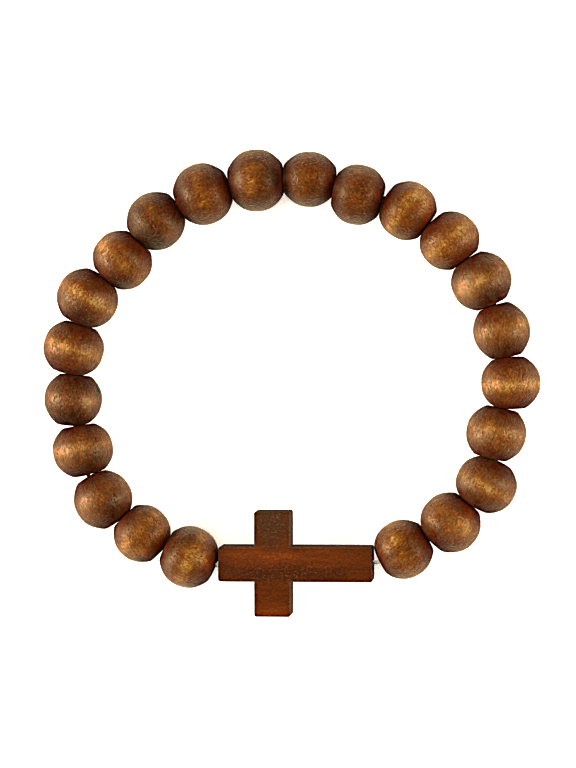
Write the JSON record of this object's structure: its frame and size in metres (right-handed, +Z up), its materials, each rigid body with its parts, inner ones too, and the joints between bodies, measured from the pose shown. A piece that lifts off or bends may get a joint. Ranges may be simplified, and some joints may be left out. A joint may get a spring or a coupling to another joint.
{
  "type": "wooden bead bracelet",
  "caption": "Stretch bracelet: drilled, stained wooden beads and a small sideways wooden cross threaded on one clear elastic cord, lying flat as a closed loop.",
  "frame": {"origin": "on the surface that the bracelet lies on, under the middle of its bounding box, which is close to the middle of the wrist opening", "axes": "+Z up, through the wrist opening; +X along the bar of the cross, towards its long end; -Y towards the cross, +Y towards the far side of the loop"},
  "size_m": [0.0832, 0.0777, 0.0103],
  "materials": {
    "bead_wood": "golden brown stain, satin lacquer, fine short grain marks round each bead",
    "cross_wood": "reddish brown stain, satin, grain along the bar",
    "elastic": "clear elastic, glossy"
  },
  "bodies": {
    "root": {"bead_01": "bead_wood", "bead_02": "bead_wood", "bead_03": "bead_wood", "bead_04": "bead_wood", "bead_05": "bead_wood", "bead_06": "bead_wood", "bead_07": "bead_wood", "bead_08": "bead_wood", "bead_09": "bead_wood", "bead_10": "bead_wood", "bead_11": "bead_wood", "bead_12": "bead_wood", "bead_13": "bead_wood", "bead_14": "bead_wood", "bead_15": "bead_wood", "bead_16": "bead_wood", "bead_17": "bead_wood", "bead_18": "bead_wood", "bead_19": "bead_wood", "bead_20": "bead_wood", "bead_21": "bead_wood", "bead_22": "bead_wood", "cross": "cross_wood", "cord": "elastic"}
  },
  "joints": []
}
